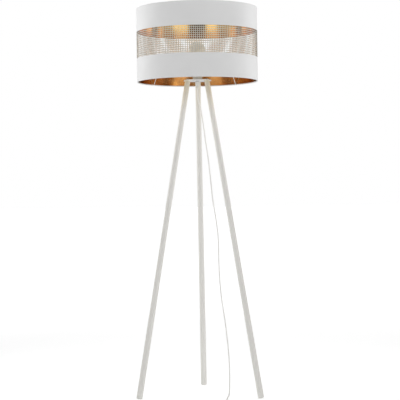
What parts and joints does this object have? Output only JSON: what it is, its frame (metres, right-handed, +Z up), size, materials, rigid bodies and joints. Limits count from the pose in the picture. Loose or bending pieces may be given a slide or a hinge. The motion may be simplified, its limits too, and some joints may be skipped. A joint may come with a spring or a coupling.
{
  "type": "tripod floor lamp",
  "caption": "Floor lamp with a white drum shade, a square-grid band round its middle and a gold inside, on three straight painted legs, with an upright bulb, lead, switch and plug.",
  "frame": {"origin": "on the floor, in the middle of the box round the lamp and its feet without the lead; the lamp's own upright axis stands 23.5 mm in front of it", "axes": "+Z up, -Y the front between the two front legs, +X to the right as seen from the front"},
  "size_m": [0.5178, 0.7158, 1.5984],
  "materials": {
    "leg_paint": "off-white painted wood, satin, faint grain",
    "glide": "matt",
    "steel": "zinc-plated",
    "brass": "bare",
    "plate_white": "white powder coat, smooth",
    "holder_plastic": "off-white moulded, satin",
    "porcelain": "glazed",
    "wire_white": "white powder coat",
    "shade_white": "smooth white laminate, satin",
    "gold_foil": "gold metallised foil, glossy",
    "bulb_diffuser": "opal, unlit",
    "bulb_housing": "white moulded",
    "cap_metal": "nickel-plated",
    "black_glass": "black glass insulator",
    "cord_sheath": "white flexible sheath, satin",
    "switch_plastic": "white moulded, satin",
    "button_plastic": "light grey moulded",
    "tie": "matt flexible strap",
    "plug_plastic": "white moulded, satin"
  },
  "bodies": {
    "stand": {"leg_front_left": "leg_paint", "leg_front_right": "leg_paint", "leg_rear": "leg_paint", "glide_front_left": "glide", "glide_front_right": "glide", "glide_rear": "glide", "leg_inserts": "brass", "leg_washers": "steel", "leg_screws": "steel", "plate": "plate_white", "nipple": "steel", "nipple_nut": "steel", "cord_grip": "holder_plastic", "cord_inner": "cord_sheath", "holder_base": "holder_plastic", "holder_shell": "holder_plastic", "holder_insert": "porcelain", "screw_shell": "brass", "centre_contact": "brass", "terminal_screws": "brass", "cord_lead": "cord_sheath", "switch_base": "switch_plastic", "switch_cover": "switch_plastic", "switch_block": "porcelain", "switch_screws": "steel", "cord_link": "cord_sheath", "cord_coil": "cord_sheath", "coil_tie": "tie", "cord_tail": "cord_sheath", "plug_body": "plug_plastic", "plug_pins": "cap_metal"},
    "shade": {"carrier_ring": "wire_white", "carrier_arm_1": "wire_white", "carrier_arm_2": "wire_white", "carrier_arm_3": "wire_white", "carrier_arm_4": "wire_white", "rim_wire_bottom": "wire_white", "rim_wire_top": "wire_white", "shade_upper": "shade_white", "shade_band": "shade_white", "shade_lower": "shade_white", "foil_upper": "gold_foil", "foil_lower": "gold_foil"},
    "ring_nut": {"ring_nut": "holder_plastic"},
    "bulb": {"bulb_globe": "bulb_diffuser", "bulb_collar": "bulb_housing", "bulb_cap": "cap_metal", "bulb_insulator": "black_glass", "bulb_tip": "brass"},
    "button": {"switch_button": "button_plastic"}
  },
  "joints": [
    {"name": "shade_turn", "type": "hinge", "parent": "stand", "child": "shade", "pos_m": [0, -0.0235, 1.3359], "axis": [0, 0, 1], "continuous": true},
    {"name": "ring_nut_turn", "type": "hinge", "parent": "stand", "child": "ring_nut", "pos_m": [0, -0.0235, 1.3408], "axis": [0, 0, 1], "continuous": true},
    {"name": "bulb_turn", "type": "hinge", "parent": "stand", "child": "bulb", "pos_m": [0, -0.0235, 1.35], "axis": [0, 0, 1], "continuous": true},
    {"name": "button_press", "type": "slide", "parent": "stand", "child": "button", "axis": [0, 0, -1], "range_m": [0, 0.0025], "stiffness_N_per_m": 500, "springref_m": -0.004}
  ]
}
